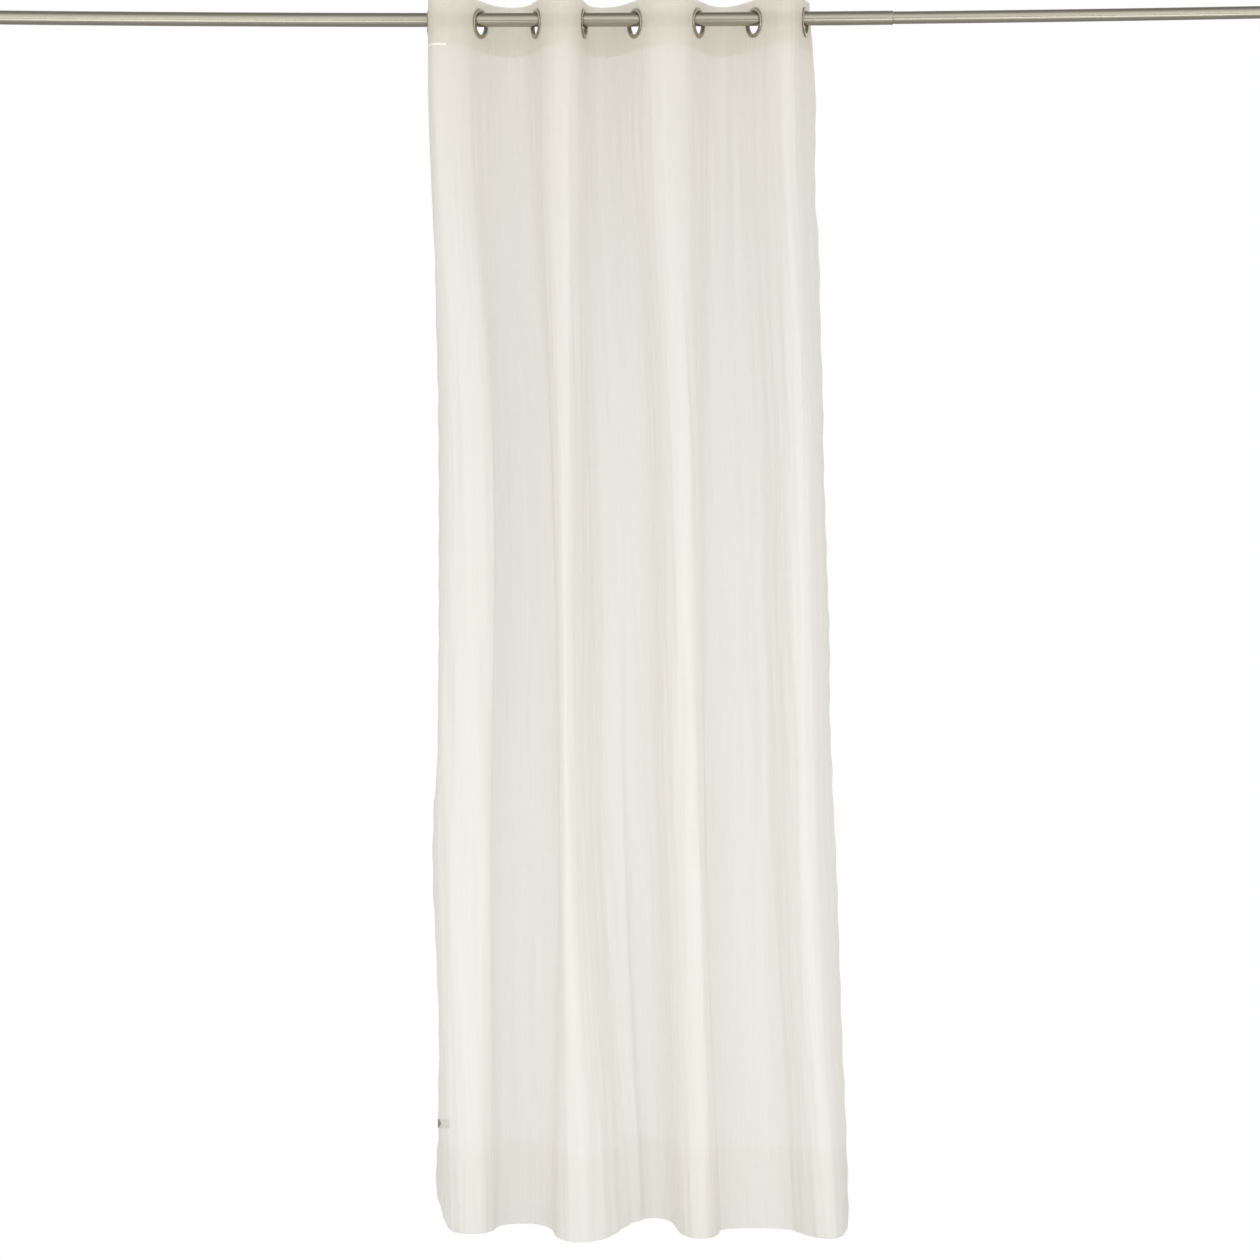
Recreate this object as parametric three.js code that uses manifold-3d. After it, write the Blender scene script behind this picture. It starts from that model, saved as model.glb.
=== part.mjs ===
// Sheer voile curtain, hung in waves by eyelets on a telescopic rod that sags a little.
// Millimetres: +X along the rod, +Y behind the curtain, +Z up, origin on the rod's axis.
import * as THREE from "three";
import { mergeVertices } from "three/addons/utils/BufferGeometryUtils.js";
import Module from "manifold-3d";

const wasm = await Module();
wasm.setup();

// Driving dimensions
const gap = 0.3; // between pieces that touch
const roundSides = 16;
const halfFacet = Math.PI / roundSides; // eyelets have a flat at the top, where they lie on the rod
const rod = {
  left: -1300,
  right: 1300,
  mouth: 523, // the thick tube's open end, where the thin tube comes out
  overlap: 220, // thin tube inside the thick one
  thickR: 14,
  thinR: 12.5,
  wall: 1.2,
  tilt: 0.0041, // rise for each mm along X
  sag: 6e-6, // rise with the square of X, lowest near the curtain
  steps: 12,
};
const plug = { head: 3, spigot: 16, play: 0.5 };
const cloth = {
  width: 1400,
  drop: 2450,
  thick: 1,
  eyelets: 8,
  sideMargin: 40, // side edge to the outer eyelets' centres
  topMargin: 45, // top edge to the eyelets' centres
  bendFacets: 9,
};
const heading = { deep: 100, thick: 1, sideInset: 7, topInset: 2 };
const ring = { bore: 22.5, barrel: 25, outer: 30, thick: 8, bevel: 1.5 };
const ringSeat = 0.6; // an eyelet's clearance on top of the rod, on which it hangs askew
const tab = { wide: 23, high: 18, thick: 1, depth: 2233, edgeSwing: 4, proud: 2 };
const corner = { wide: 48, lift: 60, from: 2200 }; // round lower left corner of the hem

// Heights, below the rod's axis, at which the folds are set out. Above the first they don't change.
const levels = [90, 857, 1673, 2412];

// Flat cloth on each side of an eyelet's line at those heights.
const flatHalf = [33, 14, 10, 10];

// A row for each eyelet's line of cloth, left to right: where it crosses the curtain's middle plane
// at those heights, and the angle there between cloth and rod in degrees. Past 90 a fold overhangs.
const crossings = [
  { x: [-398, -376, -386, -372], angle: [93, 80, 78, 74] },
  { x: [-298, -271, -275, -267], angle: [64, 88, 94, 84] },
  { x: [-187, -155, -141, -147], angle: [71, 86, 90, 80] },
  { x: [-92, -84, -66, -20], angle: [80, 74, 64, 60] },
  { x: [10, 50, 64, 92], angle: [62, 75, 74, 80] },
  { x: [136, 143, 151, 173], angle: [66, 82, 92, 88] },
  { x: [247, 275, 294, 336], angle: [60, 64, 66, 66] },
  { x: [348, 377, 396, 428], angle: [76, 76, 72, 84] },
];

// How far the hem hangs below its level, for each wave between two eyelets: front, rear, front and so on.
// It grows with this power of the depth.
const waveHemDrops = [-9, -7, 10, -15, 0, -2, 0];
const hemDropPower = 3;

// Rows of facets: distance below the top edge, with one flat heading and closer rows at the hem, and
// how far each side edge stands to the right of the folds' own line there.
const facetRows = [
  { depth: 0, left: 0, right: 0 },
  { depth: 125, left: 0, right: 0 },
  { depth: 200, left: 0, right: 12 },
  { depth: 300, left: 2, right: 10 },
  { depth: 430, left: 1, right: 9 },
  { depth: 600, left: -1, right: 6 },
  { depth: 800, left: 0, right: 4 },
  { depth: 1020, left: 1, right: 0 },
  { depth: 1260, left: 4, right: 2 },
  { depth: 1480, left: 9, right: 0 },
  { depth: 1660, left: -1, right: 2 },
  { depth: 1840, left: 1, right: 5 },
  { depth: 2060, left: 9, right: 6 },
  { depth: 2250, left: 4, right: 6 },
  { depth: 2350, left: -2, right: 6 },
  { depth: 2420, left: 5, right: 5 },
  { depth: 2450, left: 8, right: 4 },
];
const swingReach = 70; // how far in from a side edge that is felt

// Worked-out sizes
const pitch = (cloth.width - 2 * cloth.sideMargin) / (cloth.eyelets - 1);
const eyeletDrop = ring.bore * Math.cos(halfFacet) - rod.thickR - ringSeat; // below the rod's axis
const topEdge = cloth.topMargin - eyeletDrop;
const bandNear = cloth.thick / 2 + gap;
const bandFar = bandNear + heading.thick;
const stackMiddle = (bandFar - cloth.thick / 2) / 2; // of panel and band, from the panel's middle
const grooveWidth = bandFar + cloth.thick / 2 + 2 * gap;

const voile = { color: 0xe9e5da, roughness: 0.9, metalness: 0 };
const stiffVoile = { color: 0xddd6c3, roughness: 0.9, metalness: 0 };
const nickel = { color: 0x9c958a, roughness: 0.35, metalness: 1 };
const wovenTab = { color: 0x6b5a50, roughness: 0.85, metalness: 0 };

const rodHeight = (x) => rod.tilt * x + rod.sag * x * x;

// Smooth curve through a value at each level (cubic pieces that share their slopes).
function atDepth(values, below) {
  const last = levels.length - 1;
  const depth = Math.max(below, levels[0]);
  const i = Math.min(levels.findLastIndex((level) => level <= depth), last - 1);
  const slope = (j) => {
    const after = Math.min(j + 1, last);
    return j === 0 ? 0 : (values[after] - values[j - 1]) / (levels[after] - levels[j - 1]);
  };
  const span = levels[i + 1] - levels[i];
  const t = (depth - levels[i]) / span;
  const u = 1 - t;
  const held = values[i] * u * u * (1 + 2 * t) + values[i + 1] * t * t * (1 + 2 * u);
  return held + span * t * u * (slope(i) * u - slope(i + 1) * t);
}

// Where eyelet line i crosses at a depth below the rod, and the cloth's direction there.
// Even lines come forward from left to right, odd lines go back.
function crossingAt(i, below) {
  const angle = THREE.MathUtils.degToRad(atDepth(crossings[i].angle, below));
  const side = i % 2 === 0 ? -1 : 1;
  return {
    point: new THREE.Vector2(atDepth(crossings[i].x, below), 0),
    along: new THREE.Vector2(Math.cos(angle), side * Math.sin(angle)),
  };
}

// Bend of one wave: a cubic curve from one flat to the next, its handles as long as the cloth needs.
// Halving the range of handle lengths finds them.
const longestHandle = 3 * pitch;
const halvings = 40;
function bendBetween(start, end, flat) {
  const from = start.point.clone().addScaledVector(start.along, flat);
  const to = end.point.clone().addScaledVector(end.along, -flat);
  const curveWith = (handle) => {
    const out = from.clone().addScaledVector(start.along, handle);
    const back = to.clone().addScaledVector(end.along, -handle);
    return new THREE.CubicBezierCurve(from, out, back, to);
  };
  let [short, long] = [0, longestHandle];
  for (let round = 0; round < halvings; round++) {
    const handle = (short + long) / 2;
    if (curveWith(handle).getLength() < pitch - 2 * flat) short = handle;
    else long = handle;
  }
  return curveWith(short);
}

// One level section of the cloth, left to right: points, back-facing normals and cloth stations.
function sectionAt(below) {
  const flat = atDepth(flatHalf, below);
  const lines = crossings.map((_, i) => crossingAt(i, below));
  const section = [];
  const put = (point, along, station) => section.push({ point, along, station });
  const onLine = (i, offset) => {
    const { point, along } = lines[i];
    const station = cloth.sideMargin + i * pitch + offset;
    put(point.clone().addScaledVector(along, offset), along, station);
  };
  onLine(0, -cloth.sideMargin);
  onLine(0, -(cloth.sideMargin + flat) / 2);
  onLine(0, -flat);
  waveHemDrops.forEach((_, i) => {
    const bend = bendBetween(lines[i], lines[i + 1], flat);
    const start = cloth.sideMargin + i * pitch + flat;
    for (let facet = 0; facet <= cloth.bendFacets; facet++) {
      const t = facet / cloth.bendFacets;
      put(bend.getPointAt(t), bend.getTangentAt(t), start + t * (pitch - 2 * flat));
    }
  });
  const lastLine = crossings.length - 1;
  onLine(lastLine, flat);
  onLine(lastLine, (cloth.sideMargin + flat) / 2);
  onLine(lastLine, cloth.sideMargin);
  return section;
}

// Extra length at a station of the hem: each wave's own at its crest, eased between crests.
function hemDropAt(station) {
  const place = (station - cloth.sideMargin) / pitch - 0.5;
  const lastWave = waveHemDrops.length - 1;
  const inside = THREE.MathUtils.clamp(place, 0, lastWave);
  const i = Math.min(Math.floor(inside), lastWave - 1);
  const eased = THREE.MathUtils.smoothstep(inside - i, 0, 1);
  return THREE.MathUtils.lerp(waveHemDrops[i], waveHemDrops[i + 1], eased);
}

// Lift of the lower left corner, a quarter ellipse that fades upwards.
function cornerLift(station, depth) {
  const across = THREE.MathUtils.clamp(1 - station / corner.wide, 0, 1);
  const fade = THREE.MathUtils.smoothstep(depth, corner.from, cloth.drop);
  return corner.lift * (1 - Math.sqrt(1 - across * across)) * fade;
}

// One row of the cloth's middle surface at a depth below the top edge.
const topSection = sectionAt(0);
const swingShare = (inset) => Math.max(0, 1 - inset / swingReach) ** 2;
function rowAt({ depth, left, right }) {
  return sectionAt(depth - topEdge).map(({ point, along, station }, column) => {
    const hung = topEdge + rodHeight(topSection[column].point.x) - depth;
    const longer = hemDropAt(station) * (depth / cloth.drop) ** hemDropPower;
    const uneven = cornerLift(station, depth) - longer;
    const swing = left * swingShare(station) + right * swingShare(cloth.width - station);
    return {
      middle: new THREE.Vector3(point.x + swing, point.y, hung + uneven),
      back: new THREE.Vector3(-along.y, along.x, 0),
      station,
    };
  });
}

// Closed solid between two offsets from a grid of rows, along each point's back direction.
function sheetSolid(rows, near, far) {
  const columns = rows[0].length;
  const layer = rows.length * columns;
  const at = (side, row, column) => side * layer + row * columns + column;
  const positions = [near, far].flatMap((offset) =>
    rows.flat().flatMap(({ middle, back }) => middle.clone().addScaledVector(back, offset).toArray()),
  );
  const index = [];
  const quad = (a, b, c, d) => index.push(a, b, c, a, c, d);
  for (let r = 0; r < rows.length - 1; r++) {
    for (let c = 0; c < columns - 1; c++) {
      quad(at(0, r, c), at(0, r + 1, c), at(0, r + 1, c + 1), at(0, r, c + 1));
      quad(at(1, r, c), at(1, r, c + 1), at(1, r + 1, c + 1), at(1, r + 1, c));
    }
    quad(at(0, r, 0), at(1, r, 0), at(1, r + 1, 0), at(0, r + 1, 0));
    const end = columns - 1;
    quad(at(0, r, end), at(0, r + 1, end), at(1, r + 1, end), at(1, r, end));
  }
  const hem = rows.length - 1;
  for (let c = 0; c < columns - 1; c++) {
    quad(at(0, 0, c), at(0, 0, c + 1), at(1, 0, c + 1), at(1, 0, c));
    quad(at(0, hem, c), at(1, hem, c), at(1, hem, c + 1), at(0, hem, c + 1));
  }
  const geometry = new THREE.BufferGeometry();
  geometry.setAttribute("position", new THREE.Float32BufferAttribute(positions, 3));
  geometry.setIndex(index);
  return geometry;
}

// Merged copy of a geometry with its place in its points, as a solid for cutting.
function solidFrom(geometry, matrix = new THREE.Matrix4()) {
  const bare = geometry.clone().applyMatrix4(matrix);
  bare.deleteAttribute("normal");
  bare.deleteAttribute("uv");
  const merged = mergeVertices(bare);
  return new wasm.Manifold(
    new wasm.Mesh({
      numProp: 3,
      vertProperties: new Float32Array(merged.attributes.position.array),
      triVerts: new Uint32Array(merged.index.array),
    }),
  );
}

function geometryFrom(solid) {
  const { numProp, vertProperties, triVerts } = solid.getMesh();
  const geometry = new THREE.BufferGeometry();
  geometry.setAttribute("position", new THREE.Float32BufferAttribute(vertProperties, numProp));
  geometry.setIndex(new THREE.Uint32BufferAttribute(triVerts, 1));
  return geometry;
}

const curtain = new THREE.Group();
function addPiece(name, geometry, finish) {
  geometry.computeVertexNormals();
  const piece = new THREE.Mesh(geometry, new THREE.MeshStandardMaterial(finish));
  piece.name = name;
  curtain.add(piece);
  return piece;
}

// Each eyelet's centre in the middle of panel and band, hanging on the rod, and its turn about Z.
const eyelets = crossings.map((_, i) => {
  const { point, along } = crossingAt(i, 0);
  const back = new THREE.Vector2(-along.y, along.x);
  const place = point.clone().addScaledVector(back, stackMiddle);
  return {
    centre: new THREE.Vector3(place.x, place.y, rodHeight(place.x) - eyeletDrop),
    turn: Math.atan2(-back.x, back.y),
  };
});

// Panel and heading band, with a round hole for each eyelet's barrel
function punchEyelets(geometry) {
  const holeR = ring.barrel + gap;
  const punch = new THREE.CylinderGeometry(holeR, holeR, ring.thick, roundSides, 1, false, halfFacet);
  const cuts = eyelets.map(({ centre, turn }) => {
    const place = new THREE.Matrix4().makeRotationZ(turn).setPosition(centre);
    return solidFrom(punch, place);
  });
  const punched = cuts.reduce((sheet, cut) => sheet.subtract(cut), solidFrom(geometry));
  return geometryFrom(punched);
}

const panelRows = facetRows.map(rowAt);
const panel = sheetSolid(panelRows, -cloth.thick / 2, cloth.thick / 2);
addPiece("voile_panel", punchEyelets(panel), voile);

const bandRows = [heading.topInset, heading.deep].map((depth) => {
  const row = rowAt({ depth, left: 0, right: 0 });
  const [first, second] = row;
  const [beforeLast, last] = row.slice(-2);
  // The band stops short of the side hems.
  const share = heading.sideInset / (second.station - first.station);
  first.middle.lerp(second.middle, share);
  last.middle.lerp(beforeLast.middle, share);
  return row;
});
addPiece("heading_band", punchEyelets(sheetSolid(bandRows, bandNear, bandFar)), stiffVoile);

// Eyelet ring: a barrel through the cloth and a bevelled flange on each side of it
function eyeletProfile() {
  const { bore, barrel, outer, thick, bevel } = ring;
  const face = thick / 2;
  const groove = grooveWidth / 2;
  const upper = [
    [outer, groove],
    [outer, face - bevel],
    [outer - bevel, face],
    [bore + bevel, face],
    [bore, face - bevel],
  ];
  const lower = upper.map(([r, z]) => [r, -z]).reverse();
  const profile = [...lower, [barrel, -groove], [barrel, groove], ...upper, lower[0]];
  return profile.map(([r, z]) => new THREE.Vector2(r, z));
}
eyelets.forEach(({ centre, turn }, i) => {
  const shape = new THREE.LatheGeometry(eyeletProfile(), roundSides, halfFacet);
  const eyelet = addPiece(`eyelet_${i + 1}`, shape, nickel);
  eyelet.position.copy(centre);
  eyelet.rotation.z = turn;
});

// Woven tab, sewn across the left edge and standing proud of it
const [edge] = rowAt({ depth: tab.depth, left: tab.edgeSwing, right: 0 });
const edgeBack = edge.middle.y + (cloth.thick / 2) * edge.back.y;
const sideTab = addPiece("side_tab", new THREE.BoxGeometry(tab.wide, tab.thick, tab.high), wovenTab);
const tabMiddle = edge.middle.x - tab.proud + tab.wide / 2;
sideTab.position.set(tabMiddle, edgeBack + gap + tab.thick / 2, edge.middle.z);

// Rod: two tubes on one sagging line, the thin one inside the thick one's open end
class RodLine extends THREE.Curve {
  constructor(from, to) {
    super();
    this.from = from;
    this.to = to;
  }
  getPoint(t, target = new THREE.Vector3()) {
    const x = THREE.MathUtils.lerp(this.from, this.to, t);
    return target.set(x, 0, rodHeight(x));
  }
}

function tubeAlong(line, radius) {
  const section = new THREE.Shape().absarc(0, 0, radius, 0, 2 * Math.PI);
  section.holes.push(new THREE.Path().absarc(0, 0, radius - rod.wall, 0, 2 * Math.PI, true));
  const options = { steps: rod.steps, curveSegments: roundSides / 2, extrudePath: line };
  return new THREE.ExtrudeGeometry(section, options);
}

const thickLine = new RodLine(rod.left, rod.mouth);
const thinLine = new RodLine(rod.mouth - rod.overlap, rod.right);
addPiece("rod_outer_tube", tubeAlong(thickLine, rod.thickR), nickel);
addPiece("rod_inner_tube", tubeAlong(thinLine, rod.thinR), nickel);

// Plug: a flat head over the tube's end and a spigot inside it, pointing inwards
function addPlug(name, end, inwards, radius) {
  const spigotR = radius - rod.wall - plug.play;
  const outline = [
    [0, 0],
    [radius, 0],
    [radius, plug.head],
    [spigotR, plug.head],
    [spigotR, plug.head + plug.spigot],
    [0, plug.head + plug.spigot],
  ].map(([r, y]) => new THREE.Vector2(r, y));
  const piece = addPiece(name, new THREE.LatheGeometry(outline, roundSides), nickel);
  piece.position.copy(end).addScaledVector(inwards, -(plug.head + gap));
  piece.quaternion.setFromUnitVectors(new THREE.Vector3(0, 1, 0), inwards);
}
addPlug("rod_plug_left", thickLine.getPoint(0), thickLine.getTangent(0), rod.thickR);
addPlug("rod_plug_right", thinLine.getPoint(1), thinLine.getTangent(1).negate(), rod.thinR);

export default curtain;
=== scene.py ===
import math

import bpy
import numpy as np
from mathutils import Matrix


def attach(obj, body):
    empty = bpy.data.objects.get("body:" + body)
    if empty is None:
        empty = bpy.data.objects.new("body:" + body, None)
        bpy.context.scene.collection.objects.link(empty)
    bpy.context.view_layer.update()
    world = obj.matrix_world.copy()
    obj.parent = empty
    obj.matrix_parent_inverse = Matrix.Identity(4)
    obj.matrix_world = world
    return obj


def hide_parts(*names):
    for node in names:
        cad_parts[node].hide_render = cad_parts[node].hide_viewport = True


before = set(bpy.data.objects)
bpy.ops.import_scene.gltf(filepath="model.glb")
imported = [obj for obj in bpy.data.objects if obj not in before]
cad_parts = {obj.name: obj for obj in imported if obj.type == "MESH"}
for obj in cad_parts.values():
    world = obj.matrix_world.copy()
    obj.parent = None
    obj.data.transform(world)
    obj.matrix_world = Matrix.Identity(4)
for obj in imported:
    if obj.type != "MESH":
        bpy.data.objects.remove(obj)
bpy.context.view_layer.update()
scene = bpy.context.scene
mm = 0.001  # sizes below are in millimetres, meshes in metres


# Mesh object from points in mm, quads and the triangles of closed ends, with each point's station
# and depth as its UV in metres.
def makePiece(name, points, faces, uv=None, fans=np.zeros((0, 3), int)):
    mesh = bpy.data.meshes.new(name)
    mesh.from_pydata((points.reshape(-1, 3) * mm).tolist(), [], faces.tolist() + fans.tolist())
    mesh.polygons.foreach_set("use_smooth", np.ones(len(faces) + len(fans), bool))
    if uv is not None:
        layer = mesh.uv_layers.new(name="cloth")
        corners = np.concatenate([faces.ravel(), fans.ravel()])
        layer.data.foreach_set("uv", (uv.reshape(-1, 2)[corners] * mm).ravel())
    mesh.update()
    piece = bpy.data.objects.new(name, mesh)
    scene.collection.objects.link(piece)
    return piece


# Quads of a grid of points, row by row, facing the side from which columns run right as rows run
# down. around joins the last column to the first, and loop the last row to the first.
def gridFaces(rows, columns, around=False, loop=False):
    index = np.arange(rows * columns).reshape(rows, columns)
    index = np.concatenate([index, index[:, :1]], 1) if around else index
    index = np.concatenate([index, index[:1]], 0) if loop else index
    corners = [index[:-1, :-1], index[1:, :-1], index[1:, 1:], index[:-1, 1:]]
    return np.stack(corners, -1).reshape(-1, 4)


# Closes the first and last row of a grid that runs around: a point at the middle of each row, and
# triangles from it to the row. Returns the points with the two new ones, and the triangles.
def closedEnds(points):
    rows, columns, size = points.shape
    column = np.arange(columns)
    following = np.roll(column, -1)
    last, middle = (rows - 1) * columns, np.full(columns, rows * columns)
    fans = [np.stack([column, following, middle], -1)]
    fans.append(np.stack([last + following, last + column, middle + 1], -1))
    middles = [points[0].mean(0, keepdims=True), points[-1].mean(0, keepdims=True)]
    return np.concatenate([points.reshape(-1, size), *middles]), np.concatenate(fans)


# Eased step: 0 below low, 1 above high, 3t2 - 2t3 between.
def eased(value, low, high):
    t = np.clip((value - low) / (high - low), 0, 1)
    return t * t * (3 - 2 * t)


# Attaches a piece to its body, hides the node it stands for, and gives it its finish.
def finishPiece(piece, node, finish):
    piece.data.materials.append(finish)
    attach(piece, "root")
    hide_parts(node)


# Folds

rod = {
    "left": -1300, "right": 1300,
    "mouth": 523,  # open end of the thick tube
    "overlap": 220,  # thin tube inside the thick one
    "thickR": 14, "thinR": 12.5, "wall": 1.2,
    "tilt": 0.0041, "sag": 6e-6,  # rise along X and with its square
    "sides": 72, "steps": 60,
    "mouthLong": 9, "bead": 0.45, "lipLong": 2.4,  # rolled end of a tube
    "grooveAt": 6, "grooveHalf": 1.1,
    "lipEdge": 0.1, "lipBack": 0.3,  # blunt edge inside the lip
    "neckSteps": 15, "lipSteps": 8,
}
folds = {
    "width": 1400, "drop": 2450,
    "sideMargin": 40, "topMargin": 45,  # to the eyelets' centres
    "headingDeep": 100,
    "eyeletDrop": 7.47,  # eyelets' centres below the rod's axis
    "levels": [90, 857, 1673, 2412],  # below the rod, where the folds are set out
    "flatHalf": [33, 14, 10, 10],  # flat cloth on each side of an eyelet's line
    # where each eyelet's line crosses the middle plane at the levels, left to right
    "lineX": [
        [-398, -376, -386, -372], [-298, -271, -275, -267],
        [-187, -155, -141, -151], [-92, -84, -66, -20],
        [10, 50, 64, 92], [136, 143, 151, 179],
        [247, 275, 294, 332], [348, 377, 396, 428],
    ],
    # angle there between cloth and rod, in degrees
    "lineTurn": [
        [93, 80, 78, 74], [64, 88, 94, 84], [71, 86, 90, 80], [80, 74, 64, 60],
        [62, 75, 74, 80], [66, 82, 92, 84], [60, 64, 66, 66], [76, 76, 72, 84],
    ],
    "hemDrops": [-9, -5.5, 10, -15, 0, 1, 2],  # each wave's extra length at the hem
    "hemDropPower": 3,
    "cornerWide": 100, "cornerLift": 60, "cornerPower": 1.7, "cornerFrom": 2200,  # lower left corner
    "notch": 8, "notchDepth": 2252, "notchHigh": 9.5,  # left edge drawn in by the tab
    "swingReach": 70,  # how far in from a side edge its swing is felt
    "curveSteps": 161, "halvings": 34,  # fineness of the level sections
    "normalStep": 1.5,  # along the cloth on both sides, for its normal
}
# Depth, and how far the left and the right edge stand to the right of the folds' own line there.
edgeSwings = [
    (0, 0, 2), (100, -1, 9), (200, 1, 14), (320, 3, 9), (400, 2, 7), (480, 0, 10),
    (640, -2, 6), (800, 0, 4), (900, 0, 0), (1110, 2, 0), (1270, 5, 2), (1440, 9, -1),
    (1520, 8, 0), (1600, 1, 0), (1680, -1, 3), (1760, 0, 5), (1900, 5, 5), (2070, 9, 5),
    (2210, 4, 6), (2300, 2, 6), (2350, -2, 6), (2400, -4, 6), (2450, -4, 4),
]
lineCount = len(folds["lineX"])
pitch = (folds["width"] - 2 * folds["sideMargin"]) / (lineCount - 1)
topEdge = folds["topMargin"] - folds["eyeletDrop"]


# Height of the rod's axis: a straight rise along X, and a sag with the square of X.
def rodHeight(x):
    return rod["tilt"] * x + rod["sag"] * x * x


# Cubic pieces through values at knots, with shared slopes and the first one level, unchanged
# outside: v0 u2 (1 + 2t) + v1 t2 (1 + 2u) + span t u (m0 u - m1 t), with u = 1 - t.
def throughKnots(knots, values, place):
    knots, values = np.array(knots, float), np.atleast_2d(np.array(values, float))
    after = np.minimum(np.arange(len(knots)) + 1, len(knots) - 1)
    before = np.maximum(np.arange(len(knots)) - 1, 0)
    slopes = (values[:, after] - values[:, before]) / (knots[after] - knots[before])
    slopes[:, 0] = 0
    held = np.clip(place, knots[0], knots[-1])
    i = np.clip(np.searchsorted(knots, held, "right") - 1, 0, len(knots) - 2)
    span = knots[i + 1] - knots[i]
    t = (held - knots[i]) / span
    u = 1 - t
    line = values[:, i] * u * u * (1 + 2 * t) + values[:, i + 1] * t * t * (1 + 2 * u)
    return (line + span * t * u * (slopes[:, i] * u - slopes[:, i + 1] * t)).T


# Values set out at the levels, carried through them to other depths below the rod.
def atDepth(values, below):
    return throughKnots(folds["levels"], values, below)


# Level sections of the cloth at depths below the rod: straight across each eyelet's line, and
# between two lines a cubic curve, its handles halved in on until it uses up the cloth there.
# Returns each section's points and how far along the cloth they are.
def sectionsAt(below):
    flat = atDepth(folds["flatHalf"], below)[..., None]
    turn = np.radians(atDepth(folds["lineTurn"], below))
    forward = np.where(np.arange(lineCount) % 2, 1, -1)  # even lines come forward, odd go back
    along = np.stack([np.cos(turn), forward * np.sin(turn)], -1)
    x = atDepth(folds["lineX"], below)
    line = np.stack([x, 0 * x], -1)
    start, end = line[:, :-1] + flat * along[:, :-1], line[:, 1:] - flat * along[:, 1:]
    t = np.linspace(0, 1, folds["curveSteps"])[:, None]
    u = 1 - t

    def curveWith(handle):
        out = start + handle[..., None] * along[:, :-1]
        back = end - handle[..., None] * along[:, 1:]
        a, b, c, d = (p[:, :, None] for p in (start, out, back, end))
        return a * u**3 + 3 * b * t * u * u + 3 * c * t * t * u + d * t**3

    short, long = np.zeros(start.shape[:2]), np.full(start.shape[:2], 3 * pitch)
    for halving in range(folds["halvings"]):
        handle = (short + long) / 2
        steps = np.linalg.norm(np.diff(curveWith(handle), axis=2), axis=-1)
        slack = steps.sum(2) < pitch - 2 * flat[..., 0]
        short, long = np.where(slack, handle, short), np.where(slack, long, handle)
    bend = curveWith(short)
    steps = np.linalg.norm(np.diff(bend, axis=2), axis=-1)
    run = np.concatenate([np.zeros(steps.shape[:2] + (1,)), np.cumsum(steps, 2)], 2)
    lineAt = folds["sideMargin"] + pitch * np.arange(lineCount - 1)
    station = lineAt[None, :, None] + flat + run
    count = len(x)
    leftEdge = line[:, 0] - folds["sideMargin"] * along[:, 0]
    rightEdge = line[:, -1] + folds["sideMargin"] * along[:, -1]
    points = np.concatenate([leftEdge[:, None], bend.reshape(count, -1, 2), rightEdge[:, None]], 1)
    ends = np.zeros((count, 1)), np.full((count, 1), folds["width"])
    return points, np.concatenate([ends[0], station.reshape(count, -1), ends[1]], 1)


# Extra length of the hem along the cloth: each wave's own at its crest, eased between crests.
def hemDropAt(station):
    drops = np.array(folds["hemDrops"], float)
    place = np.clip((station - folds["sideMargin"]) / pitch - 0.5, 0, len(drops) - 1)
    i = np.minimum(place.astype(int), len(drops) - 2)
    return drops[i] + (drops[i + 1] - drops[i]) * eased(place - i, 0, 1)


# Lift of the lower left corner: a power of the way to the edge, eased in from above.
def cornerLiftAt(station, depth):
    across = np.clip(1 - station / folds["cornerWide"], 0, 1)
    lift = folds["cornerLift"] * across ** folds["cornerPower"]
    return lift * eased(depth, folds["cornerFrom"], folds["drop"])


# Swing of the side edges at a depth, to the right: each edge's own, fading with the square inwards,
# and on the left a bell where the tab draws the edge in.
def swingAt(station, depth):
    depthKnots, left, right = np.array(edgeSwings, float).T
    leftShare = np.clip(1 - station / folds["swingReach"], 0, 1) ** 2
    rightShare = np.clip(1 - (folds["width"] - station) / folds["swingReach"], 0, 1) ** 2
    swing = throughKnots(depthKnots, [left, right], depth.ravel()).T.reshape((2,) + depth.shape)
    notch = folds["notch"] * np.exp(-(((depth - folds["notchDepth"]) / folds["notchHigh"]) ** 2))
    return (swing[0] + notch) * leftShare + swing[1] * rightShare


# Hung cloth at grids of stations and depths, one row of the grid at each of rowDepths: the section
# at that depth, hung from the rod's line, moved back along its normal by the offset.
def hungCloth(station, depth, rowDepths, offset):
    points, at = sectionsAt(rowDepths - topEdge)
    top, topAt = sectionsAt(np.zeros(1))

    def onSections(place, axis):
        return np.array([np.interp(place[r], at[r], points[r, :, axis]) for r in range(len(rowDepths))])

    x, y = onSections(station, 0), onSections(station, 1)
    ahead = np.minimum(station + folds["normalStep"], folds["width"])
    behind = np.maximum(station - folds["normalStep"], 0)
    dx = onSections(ahead, 0) - onSections(behind, 0)
    dy = onSections(ahead, 1) - onSections(behind, 1)
    size = np.hypot(dx, dy)
    topX = np.interp(station, topAt[0], top[0, :, 0])
    z = topEdge + rodHeight(topX) - depth + cornerLiftAt(station, depth)
    z = z - hemDropAt(station) * (depth / folds["drop"]) ** folds["hemDropPower"]
    x = x + swingAt(station, depth)
    return np.stack([x - dy / size * offset, y + dx / size * offset, z], -1)


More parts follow.
